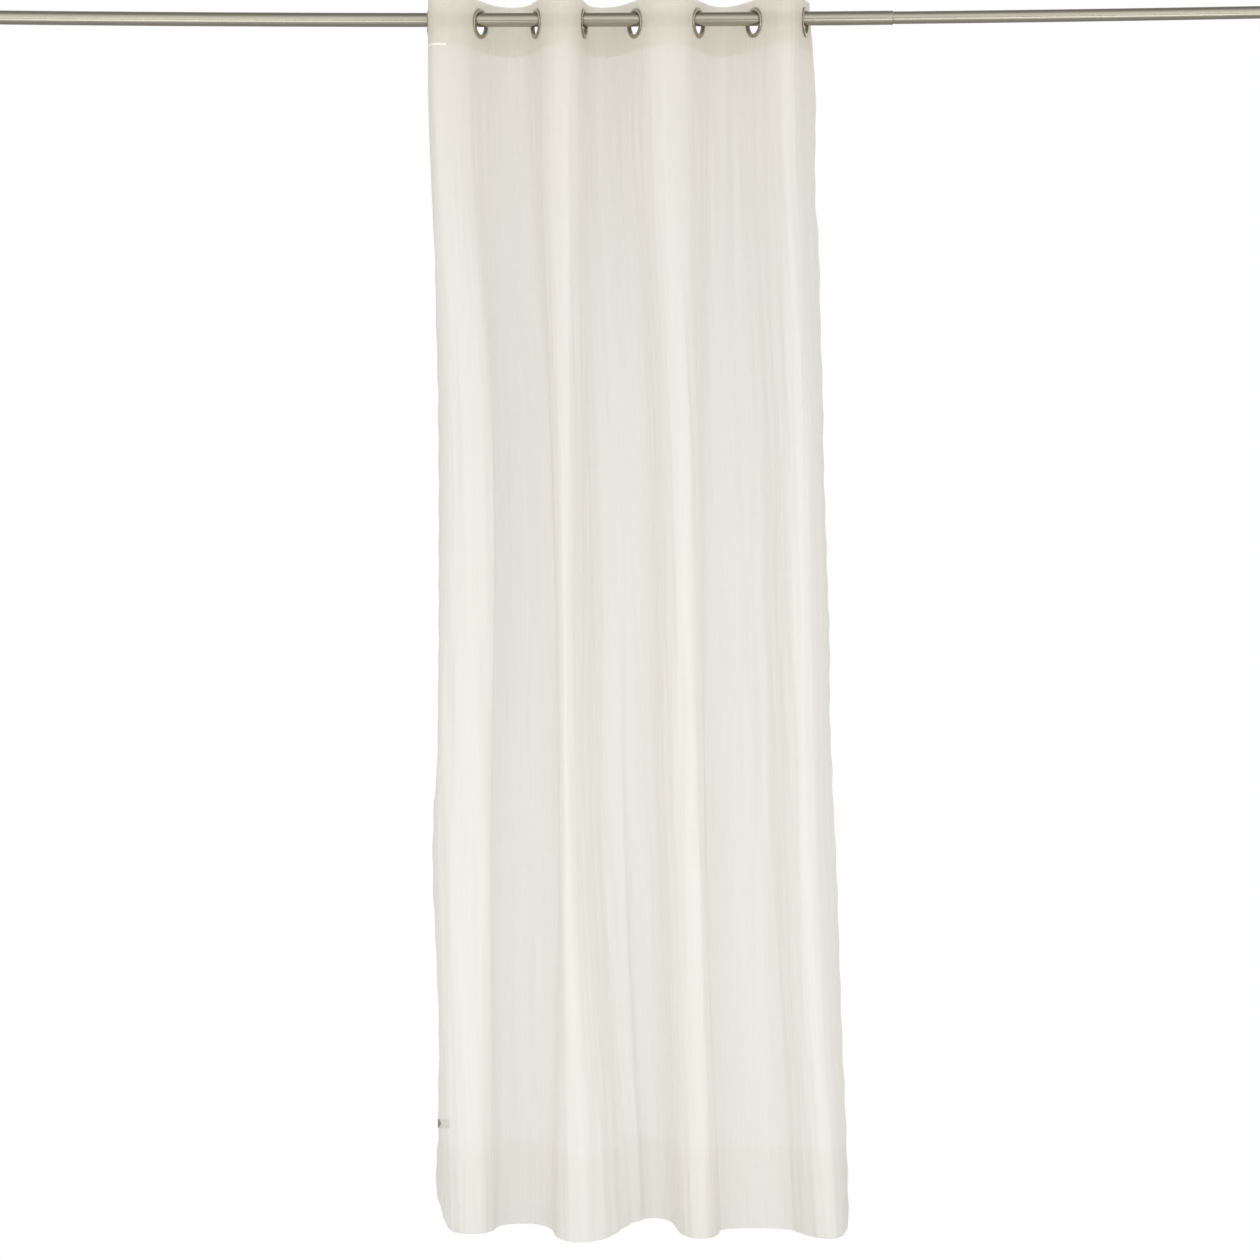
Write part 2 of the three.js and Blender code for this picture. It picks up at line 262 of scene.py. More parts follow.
# Grid lines across one sheet: close squares at each eyelet, so that a square block can become its
# round hole, and even steps between. first and last are the sheet's two ends.
def linesAround(centres, half, inside, step, first, last):
    stops = [first, *np.ravel([(c - half, c + half) for c in centres]), last]
    runs = []
    for i, (low, high) in enumerate(zip(stops[:-1], stops[1:])):
        count = inside if i % 2 else max(1, round((high - low) / step))
        runs.append(np.linspace(low, high, count, endpoint=False))
    return np.append(np.concatenate(runs), last)


# Pulls the grid onto a round hole at each eyelet: the square of half size half goes onto the
# circle of radius holeR, easing out to nothing at reach. Returns the grids and what is inside.
def roundHoles(station, depth, half, reach, holeR):
    newStation, newDepth = station.copy(), depth.copy()
    inside = np.zeros(station.shape, bool)
    for i in range(lineCount):
        dx, dy = station - (folds["sideMargin"] + i * pitch), depth - folds["topMargin"]
        square = np.maximum(np.abs(dx), np.abs(dy))
        near = square < reach
        share = np.clip((reach - square) / (reach - half), 0, 1)
        stretch = np.where(near, 1 + share * (holeR / np.maximum(np.hypot(dx, dy), 1e-6) - 1), 1)
        newStation = np.where(near, station - dx + dx * stretch, newStation)
        newDepth = np.where(near, depth - dy + dy * stretch, newDepth)
        inside |= square < half - 1e-6
    return newStation, newDepth, inside


# Faces that don't touch a point inside a hole.
def openFaces(faces, inside):
    return faces[~inside.ravel()[faces].any(1)]


# Only the points that faces use, renumbered.
def usedOnly(points, faces, uv):
    used, renumbered = np.unique(faces, return_inverse=True)
    return points.reshape(-1, 3)[used], renumbered.reshape(faces.shape), uv.reshape(-1, 2)[used]


# Finishes

# Adds a shader node: an input that is given a socket is linked, any other value is set.
def put(tree, kind, inputs=None, **settings):
    node = tree.nodes.new(kind)
    for key, value in settings.items():
        setattr(node, key, value)
    for key, value in (inputs or {}).items():
        if isinstance(value, bpy.types.NodeSocket):
            tree.links.new(value, node.inputs[key])
        else:
            node.inputs[key].default_value = value
    return node


# Material with an empty node tree, and that tree.
def newFinish(name):
    finish = bpy.data.materials.new(name)
    finish.use_nodes = True
    finish.node_tree.nodes.clear()
    return finish, finish.node_tree


# Makes a shader the surface of its material.
def setSurface(tree, shader):
    put(tree, "ShaderNodeOutputMaterial", {"Surface": shader})


# One step of arithmetic on sockets or numbers.
def maths(tree, operation, *values):
    return put(tree, "ShaderNodeMath", dict(enumerate(values)), operation=operation).outputs[0]


# Colour that goes from the first to the second as the factor goes from 0 to 1.
def mixColour(tree, factor, first, second):
    inputs = {"Factor": factor, "A": first, "B": second}
    return put(tree, "ShaderNodeMix", inputs, data_type="RGBA").outputs["Result"]


# Noise drawn out by its own scale on each axis, around 0.5.
def drawnNoise(tree, coords, scale, place=(0, 0, 0), detail=2.0):
    mapping = put(tree, "ShaderNodeMapping", {"Vector": coords, "Scale": scale, "Location": place})
    noise = {"Vector": mapping.outputs[0], "Scale": 1.0, "Detail": detail, "Roughness": 0.6}
    return put(tree, "ShaderNodeTexNoise", noise).outputs["Fac"]


# A row of stitches: a thin line where across is near place, broken along its run.
def stitchRow(tree, across, run, place, stitches):
    off = maths(tree, "ABSOLUTE", maths(tree, "SUBTRACT", across, place))
    line = maths(tree, "LESS_THAN", off, stitches["halfWide"])
    wave = maths(tree, "SINE", maths(tree, "MULTIPLY", run, 2 * math.pi / stitches["pitch"]))
    return maths(tree, "MULTIPLY", line, maths(tree, "GREATER_THAN", wave, stitches["cut"]))


voile = {
    "warm": (0.84, 0.82, 0.752, 1), "pale": (0.876, 0.855, 0.822, 1),
    "thread": (0.94, 0.92, 0.83, 1),  # pale bar at the heading's left end: painted highlight of its folded corner
    "headTintAndShade": (0.86, 0.824, 0.735, 1), "headDeep": 99,  # stiffened top of the cloth, whose tint is also carried below it as painted shade
    "headShadeFade": 520, "headShadeShare": 0.7,  # painted shade: the heading's tint below it, darkening the cloth towards the top, and how far down it is seen
    "cover": 0.88,  # share of the sheet that is yarn
    "slub": 0.20, "yarn": 0.06, "weft": 0.03,  # how far cover varies, by kind of streak
    "slubScale": (85, 1.2, 1), "yarnScale": (520, 5, 1), "weftScale": (7, 420, 1),
    "translucent": 0.48,
    "rough": 0.85, "shine": 0.15, "sheen": 0.08, "relief": 0.25, "reliefHigh": 0.0006,
    "stitches": {"halfWide": 0.0007, "pitch": 0.0034, "cut": -0.35},
    "stitchCover": 0.03,
    "hemPaintedLight": 0.62,  # cover taken from the turned-back layer of a hem: painted light, so the doubled cloth does not darken
}


# Sheer weave: diffuse and translucent yarn, see-through between the yarns. Cover goes up and down
# with slubs along the drop, single yarns and weft bars, is denser at the rows of stitches and
# thinner in the turned layer of a hem, painted light that keeps the doubled cloth from darkening.
# The tint goes from pale to warm with the slubs, to the heading's own at the top and, fading down
# below it, as painted shade that darkens the cloth towards the top, and to a pale bar at the
# heading's left end, a painted highlight of its folded corner with no translucency.
def makeVoile(name, look, seams, highlight=None):
    finish, tree = newFinish(name)
    uv = put(tree, "ShaderNodeUVMap", uv_map="cloth").outputs[0]
    split = put(tree, "ShaderNodeSeparateXYZ", {0: uv})
    across, down = split.outputs[0], split.outputs[1]
    slub = drawnNoise(tree, uv, look["slubScale"], detail=3.0)
    yarn = drawnNoise(tree, uv, look["yarnScale"], (3, 1, 0))
    weft = drawnNoise(tree, uv, look["weftScale"], (1, 7, 0))
    cover = look["cover"] - 0.5 * (look["slub"] + look["yarn"] + look["weft"])
    for streak, amount in ((slub, "slub"), (yarn, "yarn"), (weft, "weft")):
        cover = maths(tree, "MULTIPLY_ADD", streak, look[amount], cover)
    sewn, highlightMask = 0.0, 0.0
    for axis, place in seams:
        lines = (down, across) if axis == "down" else (across, down)
        sewn = maths(tree, "MAXIMUM", sewn, stitchRow(tree, *lines, place, look["stitches"]))
    # Painted highlight: a pale bar at the heading's left end, where its corner folds.
    if highlight:
        off = maths(tree, "ABSOLUTE", maths(tree, "SUBTRACT", down, highlight["depth"] * mm))
        short = maths(tree, "LESS_THAN", across, highlight["long"] * mm)
        highlightMask = maths(tree, "MULTIPLY", short, maths(tree, "LESS_THAN", off, highlight["halfWide"] * mm))
    cover = maths(tree, "MULTIPLY_ADD", sewn, look["stitchCover"], cover)
    # Painted light: the turned-back layers of the hems lose cover, so the doubled cloth does not darken.
    turned = maths(tree, "GREATER_THAN", down, folds["drop"] * mm)
    turned = maths(tree, "MAXIMUM", turned, maths(tree, "LESS_THAN", across, 0.0))
    turned = maths(tree, "MAXIMUM", turned, maths(tree, "GREATER_THAN", across, folds["width"] * mm))
    cover = maths(tree, "MULTIPLY_ADD", turned, -look["hemPaintedLight"], cover)
    # Painted shade: below the heading its tint fades down the cloth, so the cloth is darker towards the
    # top.
    fade = {"Value": down, "From Min": look["headDeep"] * mm, "From Max": look["headShadeFade"] * mm}
    fade.update({"To Min": look["headShadeShare"], "To Max": 0.0})
    below = put(tree, "ShaderNodeMapRange", fade).outputs[0]
    heading = maths(tree, "MAXIMUM", below, maths(tree, "LESS_THAN", down, look["headDeep"] * mm))
    tint = mixColour(tree, slub, look["pale"], look["warm"])
    tint = mixColour(tree, heading, tint, look["headTintAndShade"])
    # Painted highlight: the pale colour along that bar.
    tint = mixColour(tree, highlightMask, tint, look["thread"])
    raised = {"Height": yarn, "Strength": look["relief"], "Distance": look["reliefHigh"]}
    normal = put(tree, "ShaderNodeBump", raised).outputs[0]
    cloth = {"Base Color": tint, "Roughness": look["rough"], "Normal": normal}
    cloth.update({"Specular IOR Level": look["shine"], "Sheen Weight": look["sheen"]})
    body = put(tree, "ShaderNodeBsdfPrincipled", cloth)
    lit = put(tree, "ShaderNodeBsdfTranslucent", {"Color": tint, "Normal": normal})
    # The painted highlight has no translucency.
    through = maths(tree, "MULTIPLY_ADD", highlightMask, -look["translucent"], look["translucent"])
    yarns = put(tree, "ShaderNodeMixShader", {0: through, 1: body.outputs[0], 2: lit.outputs[0]})
    clear = put(tree, "ShaderNodeBsdfTransparent")
    sheer = put(tree, "ShaderNodeMixShader", {0: cover, 1: clear.outputs[0], 2: yarns.outputs[0]})
    setSurface(tree, sheer.outputs[0])
    return finish


nickel = {
    "dark": (0.375, 0.345, 0.275, 1), "light": (0.455, 0.425, 0.355, 1),
    "brush": (2.5, 900, 900),  # fine lines along the tube
    "patch": (14, 40, 40), "lineShare": 0.55,  # soft patches, and the lines' share of the tone
    "smooth": 0.24, "dull": 0.30, "relief": 0.012, "reliefHigh": 0.0002,
}
eyeletNickel = {
    **nickel, "dark": (0.33, 0.295, 0.235, 1), "light": (0.46, 0.42, 0.345, 1),
    "brush": (260, 260, 260), "smooth": 0.16, "dull": 0.26, "relief": 0.04,
}


# Satin plate: a warm grey metal, its tone and roughness broken by brush lines and soft patches.
def makeNickel(name, look):
    finish, tree = newFinish(name)
    coords = put(tree, "ShaderNodeTexCoord").outputs["Object"]
    lines = drawnNoise(tree, coords, look["brush"], detail=3.0)
    patches = drawnNoise(tree, coords, look["patch"], (2, 0, 1))
    patchTone = maths(tree, "MULTIPLY", patches, 1 - look["lineShare"])
    tone = maths(tree, "MULTIPLY_ADD", lines, look["lineShare"], patchTone)
    tint = mixColour(tree, tone, look["dark"], look["light"])
    dulled = {"Value": lines, "To Min": look["smooth"], "To Max": look["dull"]}
    rough = put(tree, "ShaderNodeMapRange", dulled).outputs[0]
    raised = {"Height": lines, "Strength": look["relief"], "Distance": look["reliefHigh"]}
    normal = put(tree, "ShaderNodeBump", raised).outputs[0]
    metal = {"Base Color": tint, "Roughness": rough, "Metallic": 1.0, "Normal": normal}
    body = put(tree, "ShaderNodeBsdfPrincipled", metal)
    setSurface(tree, body.outputs[0])
    return finish


tabWeave = {
    "warp": (0.19, 0.165, 0.135, 1), "weft": (0.29, 0.255, 0.21, 1),
    "thread": 0.9,  # mm between threads
    "rough": 0.8, "sheen": 0.1, "relief": 0.5, "reliefHigh": 0.0003,
}


# Plain woven tab: two crossing rows of threads as tone and relief.
def makeTabWeave(name, look):
    finish, tree = newFinish(name)
    uv = put(tree, "ShaderNodeUVMap", uv_map="cloth").outputs[0]
    split = put(tree, "ShaderNodeSeparateXYZ", {0: uv})
    turns = math.pi / (look["thread"] * mm)
    waves = [maths(tree, "SINE", maths(tree, "MULTIPLY", split.outputs[i], turns)) for i in (0, 1)]
    weave = maths(tree, "MULTIPLY_ADD", maths(tree, "MULTIPLY", *waves), 0.5, 0.5)
    tint = mixColour(tree, weave, look["warp"], look["weft"])
    raised = {"Height": weave, "Strength": look["relief"], "Distance": look["reliefHigh"]}
    normal = put(tree, "ShaderNodeBump", raised).outputs[0]
    cloth = {"Base Color": tint, "Roughness": look["rough"], "Normal": normal}
    body = put(tree, "ShaderNodeBsdfPrincipled", {**cloth, "Sheen Weight": look["sheen"]})
    setSurface(tree, body.outputs[0])
    return finish


# Voile panel

panel = {
    "sideHem": 22, "footHem": 168, "turnGap": 0.8,
    "turnStep": 0.8, "edgeStep": 0.8,  # first grid line past an edge, and last before it
    "sideLines": 6, "footLines": 13, "notchLines": 7,
    "holeHalf": 26, "holeReach": 40, "holeR": 26, "holeSquares": 16,
    "step": 3.1, "headingRows": 110, "headingStep": 3.9, "rowStep": 15.5,
    "puckerHigh": 0.9, "puckerWave": 83, "puckerReach": 30,  # side hems drawn in by their stitching
    "puckerDrift": 2.2, "puckerSlow": 210,  # their wave's wandering
    "reliefFrom": 75, "reliefFull": 320,  # the stiff heading stays smooth
}
ripples = {
    "seed": 11, "count": 26, "waves": (11, 46), "steep": 0.010,
    "drift": 1.5, "slow": (500, 1900),  # wandering, and its length down the drop
}
creaseEase = 300  # longest run in which a crease comes and goes
# Creases, listed as stations at head and foot, depths at head and foot, height towards the front, and
# widths on the left and right.
creases = [
    (690, 672, 1120, 2600, 7, 24, 9),
    (116, 112, 640, 1420, -2.5, 8, 8),
    (194, 188, 420, 2300, 5, 26, 8),
    (458, 452, 80, 1300, 4, 8, 24),
    (318, 326, 150, 2100, 2.2, 13, 13),
    (1050, 1060, 60, 1500, 2.0, 9, 6),
    (1088, 1100, 100, 1300, 1.6, 7, 9),
    (903, 915, 500, 2600, 4.0, 26, 7),
    (1266, 1274, 180, 1000, 5.0, 12, 10),
]


# Relief of the cloth towards its back: waves across it that wander and come and go down the drop,
# less the creases, each a bell across with its own width on either side, eased at head and foot.
def reliefAt(station, depth):
    draw = np.random.default_rng(ripples["seed"])
    relief = np.zeros(station.shape)
    for i in range(ripples["count"]):
        wave = draw.uniform(*ripples["waves"])
        phase, wander, come = draw.uniform(0, 2 * math.pi, 3)
        slow, pulse = draw.uniform(*ripples["slow"], 2)
        drift = ripples["drift"] * np.sin(2 * math.pi * depth / slow + wander)
        turn = 2 * math.pi * station / wave + phase + drift
        shown = 0.5 + 0.5 * np.sin(2 * math.pi * depth / pulse + come)
        relief += ripples["steep"] * wave * np.cos(turn) * shown
    for head, foot, top, bottom, high, left, right in creases:
        share = np.clip((depth - top) / (bottom - top), 0, 1)
        off = station - (head + (foot - head) * share)
        ease = min(creaseEase, (bottom - top) / 3)
        shown = eased(depth, top, top + ease) * (1 - eased(depth, bottom - ease, bottom))
        relief -= high * shown * np.exp(-((off / np.where(off < 0, left, right)) ** 2))
    edge = np.minimum(station, folds["width"] - station)
    pucker = panel["puckerHigh"] * np.exp(-edge / panel["puckerReach"])
    wander = panel["puckerDrift"] * np.sin(depth / panel["puckerSlow"])
    relief += pucker * np.sin(2 * math.pi * depth / panel["puckerWave"] + wander)
    return relief * eased(depth, panel["reliefFrom"], panel["reliefFull"])


# Sheet with its hems turned back: past each side edge and past the foot the grid runs back over
# the cloth, a little behind it.
eyeletStations = folds["sideMargin"] + pitch * np.arange(lineCount)
square = panel["holeHalf"], panel["holeSquares"]
turned = np.linspace(panel["turnStep"], panel["sideHem"], panel["sideLines"])
stations = linesAround(eyeletStations, *square, panel["step"], 0, folds["width"])
edges = [panel["edgeStep"], folds["width"] - panel["edgeStep"]]
stations = np.concatenate([-turned[::-1], np.union1d(stations, edges), folds["width"] + turned])
headRows = linesAround([folds["topMargin"]], *square, panel["headingStep"], 0, panel["headingRows"])
bodyCount = round((folds["drop"] - panel["headingRows"]) / panel["rowStep"]) + 1
bodyRows = np.linspace(panel["headingRows"], folds["drop"], bodyCount)
bodyRows = np.append(bodyRows[:-1], [folds["drop"] - panel["edgeStep"], folds["drop"]])
notchRows = folds["notchDepth"] + folds["notchHigh"] * np.linspace(-2, 2, panel["notchLines"])
bodyRows = np.union1d(bodyRows, notchRows)
footRows = np.linspace(panel["turnStep"], panel["footHem"], panel["footLines"]) + folds["drop"]
depths = np.concatenate([headRows[:-1], bodyRows, footRows])
sideOut = np.maximum(-stations, stations - folds["width"])
footOut = depths - folds["drop"]
behind = panel["turnGap"] * ((sideOut > 0)[None, :] * 1.0 + (footOut > 0)[:, None] * 1.0)
rowDepths = np.where(footOut > 0, folds["drop"] - footOut, depths)
turnedBack = np.clip(stations, 0, folds["width"]) + np.where(stations < 0, sideOut, -sideOut)
columnStations = np.where(sideOut > 0, turnedBack, stations)
station, depth = np.meshgrid(columnStations, rowDepths)
station, depth, inside = roundHoles(station, depth, panel["holeHalf"], panel["holeReach"], panel["holeR"])
inside &= ((sideOut <= 0)[None, :]) & ((footOut <= 0)[:, None])
cloth = hungCloth(station, depth, rowDepths, reliefAt(station, depth) + behind)
faces = openFaces(gridFaces(*station.shape), inside)
flatStation = np.where(sideOut > 0, stations, station)
flatDepth = np.where((footOut > 0)[:, None], depths[:, None], depth)
unrolled = np.stack([flatStation, flatDepth], -1)
points, faces, uv = usedOnly(cloth, faces, unrolled)
voileSheet = makePiece("voile_sheet", points, faces, uv)
cornerHighlight = {"depth": 97, "long": 132, "halfWide": 1.8}  # painted highlight: a pale bar at the heading's left end, on its folded corner
seams = [("down", (folds["drop"] - panel["footHem"]) * mm), ("down", folds["headingDeep"] * mm)]
seams += [("across", panel["sideHem"] * mm), ("across", (folds["width"] - panel["sideHem"]) * mm)]
finishPiece(voileSheet, "voile_panel", makeVoile("sheer voile", voile, seams, cornerHighlight))
print("voile panel:", 2 * len(faces), "triangles")


# Heading band

band = {
    "topInset": 2, "sideInset": 7, "seamInset": 3, "behind": 1.3, "step": 4.5,
    "holeReach": 32,
}
stiffVoile = {
    **voile, "warm": (0.90, 0.85, 0.73, 1), "pale": (0.92, 0.88, 0.78, 1),
    "cover": 0.52, "slub": 0.06, "yarn": 0.10, "weft": 0.10,
    "yarnScale": (640, 40, 1), "weftScale": (40, 640, 1), "translucent": 0.48,
}
bandSides = band["sideInset"], folds["width"] - band["sideInset"]
bandEnds = band["topInset"], folds["headingDeep"]
bandStations = linesAround(eyeletStations, *square, band["step"], *bandSides)
bandRows = linesAround([folds["topMargin"]], *square, band["step"], *bandEnds)
station, depth = np.meshgrid(bandStations, bandRows)
station, depth, inside = roundHoles(station, depth, panel["holeHalf"], band["holeReach"], panel["holeR"])
cloth = hungCloth(station, depth, bandRows, reliefAt(station, depth) + band["behind"])
faces = openFaces(gridFaces(*station.shape), inside)
points, faces, uv = usedOnly(cloth, faces, np.stack([station, depth], -1))
headingSheet = makePiece("heading_sheet", points, faces, uv)
bandSeams = [("down", (bandEnds[1] - band["seamInset"]) * mm)]
bandSeams += [("down", (bandEnds[0] + band["seamInset"]) * mm)]
finishPiece(headingSheet, "heading_band", makeVoile("stiff voile", stiffVoile, bandSeams))
print("heading band:", 2 * len(faces), "triangles")


# Eyelets

# Closed outline with each corner rounded: a curve of the second degree through the points that
# lie cut before and after the corner.
def roundedLoop(corners, cuts, steps=5):
    corners, cuts = np.array(corners, float), np.array(cuts, float)[:, None]
    before, after = np.roll(corners, 1, 0) - corners, np.roll(corners, -1, 0) - corners
    start = corners + before / np.linalg.norm(before, axis=1, keepdims=True) * cuts
    end = corners + after / np.linalg.norm(after, axis=1, keepdims=True) * cuts
    t = np.linspace(0, 1, steps)[None, :, None]
    curve = start[:, None] * (1 - t) ** 2 + 2 * corners[:, None] * t * (1 - t) + end[:, None] * t**2
    return curve.reshape(-1, 2)


eyelet = {
    "bore": 22.15, "barrel": 25.4, "outer": 30, "face": 4.2, "rim": 2.7, "groove": 1.7,
    "dome": 3.4, "boreDome": 0.6,  # ring's width over the dome's, and the dome's share at the bore
    "seam": 0.35, "sides": 72,
    "back": 0.65,  # rings' middle behind the cloth's own
}


# Ring turned about its own axis: the outline of radius and axial place, swept round.
def ringPoints(outline, centre, turn):
    angle = np.linspace(0, 2 * math.pi, eyelet["sides"], endpoint=False)
    radius, axial = outline[:, :1], outline[:, 1:]
    across, up = radius * np.cos(angle), radius * np.sin(angle)
    deep = axial + 0 * across
    x = across * math.cos(turn) - deep * math.sin(turn)
    y = across * math.sin(turn) + deep * math.cos(turn)
    return np.stack([x, y, up], -1) + centre


# Outline of a snapped pair of rings: domed faces, a groove outside for the cloth and a fine seam
# in the bore, each corner rounded by its own cut.
def eyeletOutline():
    bore, outer, face, rim, groove = (eyelet[key] for key in ("bore", "outer", "face", "rim", "groove"))
    seam, dome = eyelet["seam"], (outer - bore) / eyelet["dome"]
    boreDome = bore + dome * eyelet["boreDome"]
    corners = [
        (bore, rim), (boreDome, face), (outer - dome, face), (outer, rim), (outer, groove),
        (eyelet["barrel"], groove), (eyelet["barrel"], -groove), (outer, -groove), (outer, -rim),
        (outer - dome, -face), (boreDome, -face), (bore, -rim),
        (bore, -groove - seam), (bore + seam, -groove), (bore, -groove + seam),
    ]
    cuts = [0.9, 0.9, 0.9, 0.55, 0.3, 0.1, 0.1, 0.3, 0.55, 0.9, 0.9, 0.5, 0.08, 0.08, 0.08]
    return roundedLoop(corners, cuts)


ringFinish = makeNickel("eyelet nickel", eyeletNickel)
for i in range(lineCount):
    turn = math.radians(folds["lineTurn"][i][0]) * (1 if i % 2 else -1)
    back = np.array([-math.sin(turn), math.cos(turn)])
    place = np.array([folds["lineX"][i][0], 0]) + back * eyelet["back"]
    centre = np.array([*place, rodHeight(place[0]) - folds["eyeletDrop"]])
    outline = eyeletOutline()
    faces = gridFaces(len(outline), eyelet["sides"], around=True, loop=True)[:, ::-1]
    ring = makePiece(f"eyelet_ring_{i + 1}", ringPoints(outline, centre, turn), faces)
    finishPiece(ring, f"eyelet_{i + 1}", ringFinish)
print("eyelets:", lineCount, "rings of", 2 * len(faces), "triangles")


# Rod

# Tube or plug turned about the rod's line: an outline of places along X and radii, swept round.
def turnedOnRod(outline):
    angle = np.linspace(0, 2 * math.pi, rod["sides"], endpoint=False)
    x, radius = outline[:, :1], outline[:, 1:]
    around = radius * np.sin(angle)
    slope = rod["tilt"] + 2 * rod["sag"] * x
    z = rodHeight(x) + radius * np.cos(angle)
    return np.stack([x - slope * radius * np.cos(angle), around, z], -1)


# Closed outline of a tube: outside from left to right, a groove and a bead at its mouth, each a
# bell along it, a quarter ellipse over the lip, and inside back to the left.
def tubeOutline(left, right, radius, bead):
    inner, lipLong = radius - rod["wall"], rod["lipLong"]
    run = np.linspace(left, right - rod["mouthLong"], rod["steps"])
    outside = np.stack([run, np.full(len(run), radius)], -1)
    near = np.linspace(rod["mouthLong"], lipLong, rod["neckSteps"])[1:]
    groove = np.exp(-(((near - rod["grooveAt"]) / rod["grooveHalf"]) ** 2))
    raised = 1 - eased(near, lipLong, rod["grooveAt"])
    neck = np.stack([right - near, radius + bead * (raised - groove)], -1)
    turn = np.linspace(0, math.pi / 2, rod["lipSteps"])[1:]
    drop = rod["wall"] + bead - rod["lipEdge"]
    lipX = right - lipLong * (1 - np.sin(turn))
    lip = np.stack([lipX, radius + bead - drop * (1 - np.cos(turn))], -1)
    edge = [(right - rod["lipBack"], inner)]
    inside = np.stack([run[::-1], np.full(len(run), inner)], -1)
    return np.concatenate([outside, neck, lip, edge, inside])


rodFinish = makeNickel("rod nickel", nickel)
tubes = [
    ("rod_thick_tube", "rod_outer_tube", rod["left"], rod["mouth"], rod["thickR"], rod["bead"]),
    ("rod_thin_tube", "rod_inner_tube", rod["mouth"] - rod["overlap"], rod["right"], rod["thinR"], 0.0),
]
for name, node, left, right, radius, bead in tubes:
    outline = tubeOutline(left, right, radius, bead)
    faces = gridFaces(len(outline), rod["sides"], around=True, loop=True)
    finishPiece(makePiece(name, turnedOnRod(outline), faces), node, rodFinish)

plug = {
    "head": 3, "gap": 0.3, "spigot": 16, "play": 0.5,
    "edge": 0.8, "edgeMid": 0.25, "seatEdge": 0.2, "lead": 1,  # rounding of its edges
    "middle": 0.4,  # share of a face's radius at which its middle fan begins
}
ends = [
    ("plug_left", "rod_plug_left", rod["left"], 1, rod["thickR"]),
    ("plug_right", "rod_plug_right", rod["right"], -1, rod["thinR"]),
]
for name, node, end, inwards, radius in ends:
    spigotR = radius - rod["wall"] - plug["play"]
    face, seat, tip = -(plug["head"] + plug["gap"]), -plug["gap"], plug["spigot"]
    steps = [
        (face, radius * plug["middle"]), (face, radius - plug["edge"]),
        (face + plug["edgeMid"], radius - plug["edgeMid"]), (face + plug["edge"], radius),
        (seat - plug["seatEdge"], radius), (seat, radius - plug["seatEdge"]), (seat, spigotR),
        (tip - plug["lead"], spigotR), (tip, spigotR - plug["lead"]), (tip, spigotR * plug["middle"]),
    ]
    outline = np.array(steps) * (inwards, 1) + (end, 0)
    faces = gridFaces(len(outline), rod["sides"], around=True)
    points, fans = closedEnds(turnedOnRod(outline))
    piece = makePiece(name, points, faces[:, ::inwards], fans=fans[:, ::inwards])
    finishPiece(piece, node, rodFinish)
print("rod: two tubes and two plugs")


# Side tab

tab = {
    "wide": 23, "high": 19, "thick": 0.9, "depth": 2241,
    "edgeSwing": 4, "proud": 2, "behind": 1.3, "curl": 1.2,
    "foldCut": 0.44, "endCut": 0.2, "rows": 13,
}


# Folded strip: an outline of two layers with a round fold at the left, carried up the tab and
# bent back a little towards its lower corner.
def tabPoints(edge):
    outline = roundedLoop(
        [(0, 0), (tab["wide"], 0), (tab["wide"], tab["thick"]), (0, tab["thick"])],
        [tab["foldCut"], tab["endCut"], tab["endCut"], tab["foldCut"]],
    )
    up = np.linspace(-0.5, 0.5, tab["rows"])[:, None]
    along, deep = outline[:, 0][None], outline[:, 1][None]
    x = edge[0] + tab["edgeSwing"] - tab["proud"] + along + 0 * up
    y = edge[1] + tab["behind"] + deep + tab["curl"] * (1 - along / tab["wide"]) ** 2 * (0.5 - up)
    z = topEdge - tab["depth"] + tab["high"] * up + 0 * along
    uv = np.stack([along + 0 * up, tab["high"] * up + 0 * along], -1)
    return np.stack([x, y, z], -1), uv


tabSection = sectionsAt(np.array([tab["depth"] - topEdge]))[0]
points, uv = tabPoints(tabSection[0, 0])
rows, columns = points.shape[:2]
points, fans = closedEnds(points)
uv, fans = closedEnds(uv)
faces = gridFaces(rows, columns, around=True)
sideTab = makePiece("woven_tab", points, faces[:, ::-1], uv, fans[:, ::-1])
finishPiece(sideTab, "side_tab", makeTabWeave("tab weave", tabWeave))
print("side tab")


# Floor, lights and camera

stage = {
    "floorHeight": -2.62, "floorSize": 40,
    "floorShine": 1.0, "floorTone": 0.60,  # as the camera sees it, and as it lights the curtain
    "horizon": 1.0, "zenith": 0.3,  # brightness of the surroundings, level and overhead
    "levelTo": 0.42,  # height of a direction where it begins to fall
    "front": 1.35,  # and how much brighter they are in front of the curtain
    "frontFull": -0.9, "frontFrom": -0.2,  # Y of the directions between which it does so
}
lights = [
    # place, size in metres and power of each soft box
    ("left soft box", (-1.3, -2.2, -1.72), (1.9, 1.2), 17.5),
    ("right soft box", (1.3, -2.2, -1.72), (1.9, 1.2), 17.5),
    ("left strip box", (-1.6, -2.6, -0.45), (2.0, 0.25), 6),
    ("right strip box", (1.9, -2.6, -0.45), (1.8, 0.25), 5),
]
view = {"distance": 6.5, "height": -1.215, "lens": 93.3, "sensor": 36, "far": 200}

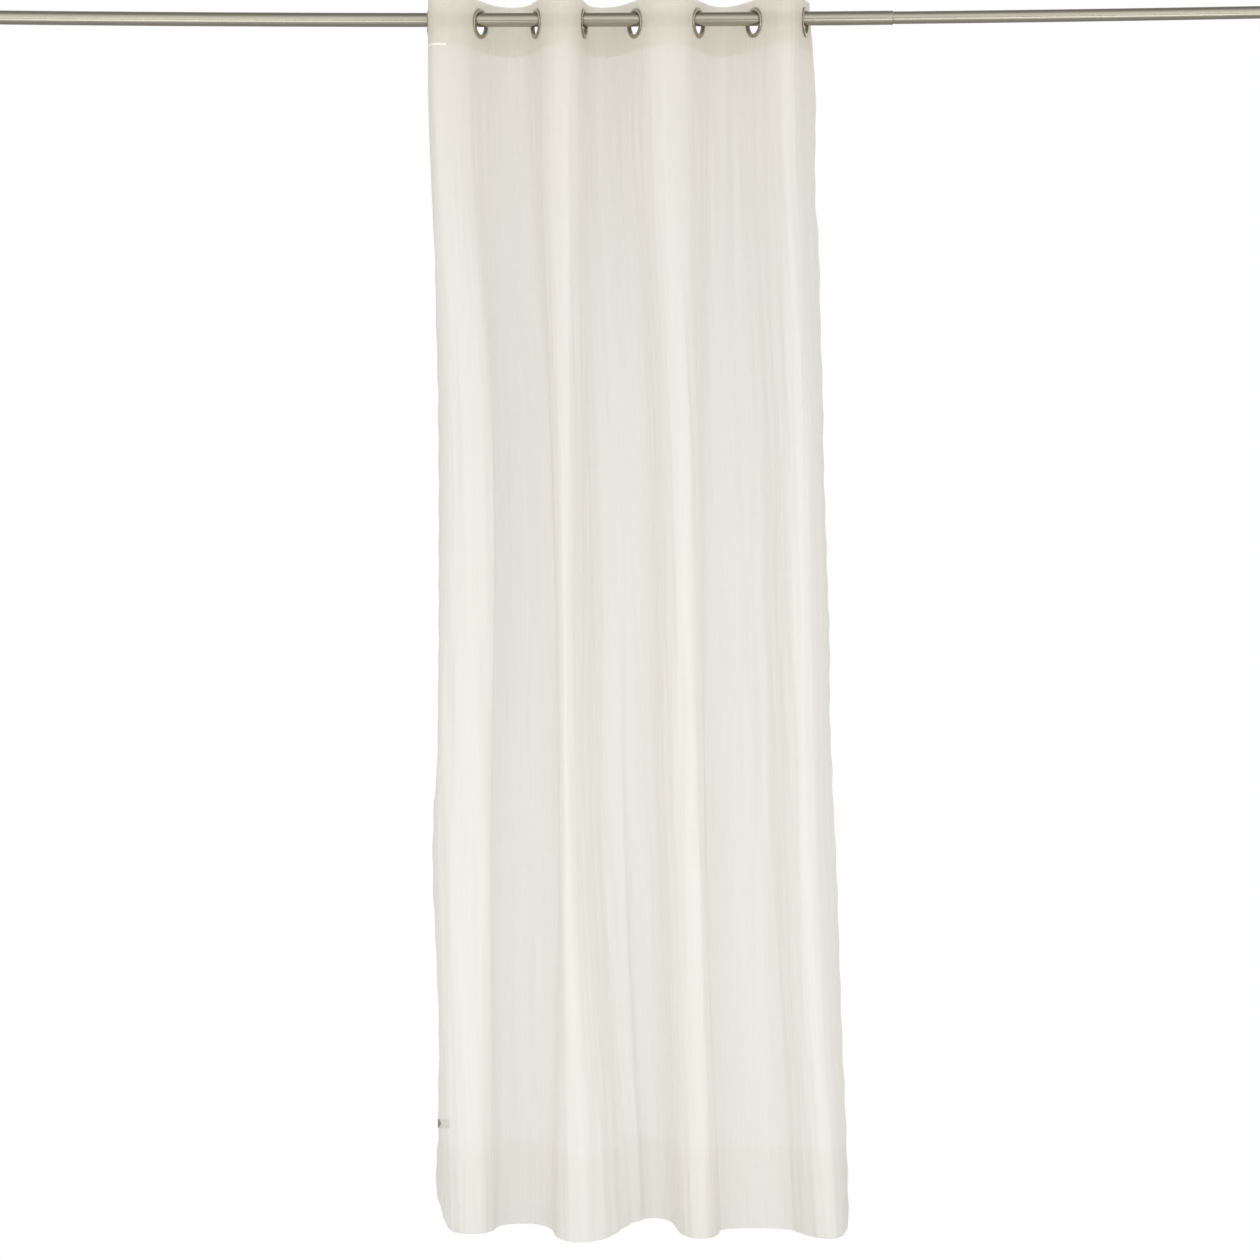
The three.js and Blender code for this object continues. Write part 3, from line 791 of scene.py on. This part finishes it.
half = stage["floorSize"] / 2
floorMesh = bpy.data.meshes.new("floor")
corners = [(-half, -half), (half, -half), (half, half), (-half, half)]
floorMesh.from_pydata([(x, y, stage["floorHeight"]) for x, y in corners], [], [(0, 1, 2, 3)])
floor = bpy.data.objects.new("floor", floorMesh)
scene.collection.objects.link(floor)
floorFinish, tree = newFinish("pale floor")
seen = put(tree, "ShaderNodeLightPath").outputs["Is Camera Ray"]
pale = put(tree, "ShaderNodeBsdfDiffuse", {"Color": (*[stage["floorTone"]] * 3, 1)})
white = put(tree, "ShaderNodeEmission", {"Color": (1, 1, 1, 1), "Strength": stage["floorShine"]})
shown = put(tree, "ShaderNodeMixShader", {0: seen, 1: pale.outputs[0], 2: white.outputs[0]})
setSurface(tree, shown.outputs[0])
floorMesh.materials.append(floorFinish)

world = bpy.data.worlds.new("studio")
scene.world = world
world.use_nodes = True
tree = world.node_tree
tree.nodes.clear()
direction = put(tree, "ShaderNodeTexCoord").outputs["Generated"]
split = put(tree, "ShaderNodeSeparateXYZ", {0: direction})
fade = {"Value": split.outputs[2], "From Min": stage["levelTo"]}
fade.update({"To Min": stage["horizon"], "To Max": stage["zenith"]})
front = {"Value": split.outputs[1], "From Min": stage["frontFull"], "From Max": stage["frontFrom"]}
front.update({"To Min": stage["front"], "To Max": 1.0})
levels = [put(tree, "ShaderNodeMapRange", part).outputs[0] for part in (fade, front)]
sky = maths(tree, "MULTIPLY", *levels)
around = put(tree, "ShaderNodeBackground", {"Color": (1, 1, 1, 1), "Strength": sky})
put(tree, "ShaderNodeOutputWorld", {"Surface": around.outputs[0]})

for name, place, size, power in lights:
    lamp = bpy.data.lights.new(name, "AREA")
    lamp.shape = "RECTANGLE"
    lamp.size, lamp.size_y = size
    lamp.energy = power
    box = bpy.data.objects.new(name, lamp)
    box.location = place
    aim = math.atan2(-place[0], -place[1])
    box.rotation_euler = (math.pi / 2, 0, -aim)
    box.visible_camera = False
    scene.collection.objects.link(box)

lensData = bpy.data.cameras.new("camera")
lensData.lens, lensData.sensor_width = view["lens"], view["sensor"]
lensData.clip_end = view["far"]
camera = bpy.data.objects.new("camera", lensData)
camera.location = (0, -view["distance"], view["height"])
camera.rotation_euler = (math.pi / 2, 0, 0)
scene.collection.objects.link(camera)
scene.camera = camera
scene.view_settings.view_transform = "Standard"
print("floor, lights and camera")
